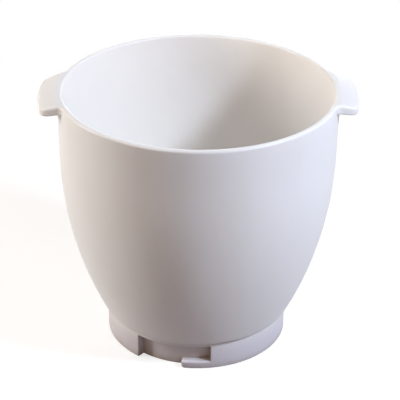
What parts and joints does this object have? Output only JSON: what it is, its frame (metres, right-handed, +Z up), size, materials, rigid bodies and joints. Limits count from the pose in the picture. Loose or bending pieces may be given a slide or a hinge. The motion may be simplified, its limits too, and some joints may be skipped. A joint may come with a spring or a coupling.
{
  "type": "stand mixer bowl",
  "caption": "Deep white plastic mixing bowl with an open mouth, thumb ears on the rim and a bayonet foot that turns and locks on a stand mixer's seat.",
  "frame": {"origin": "centre of the foot's lower face, on the bowl's axis", "axes": "+Z up along the bowl's axis, +X through one ear, -Y towards the front bayonet slot"},
  "size_m": [0.238, 0.21, 0.2025],
  "materials": {
    "white_plastic": "satin"
  },
  "bodies": {
    "root": {"bowl": "white_plastic"}
  },
  "joints": []
}
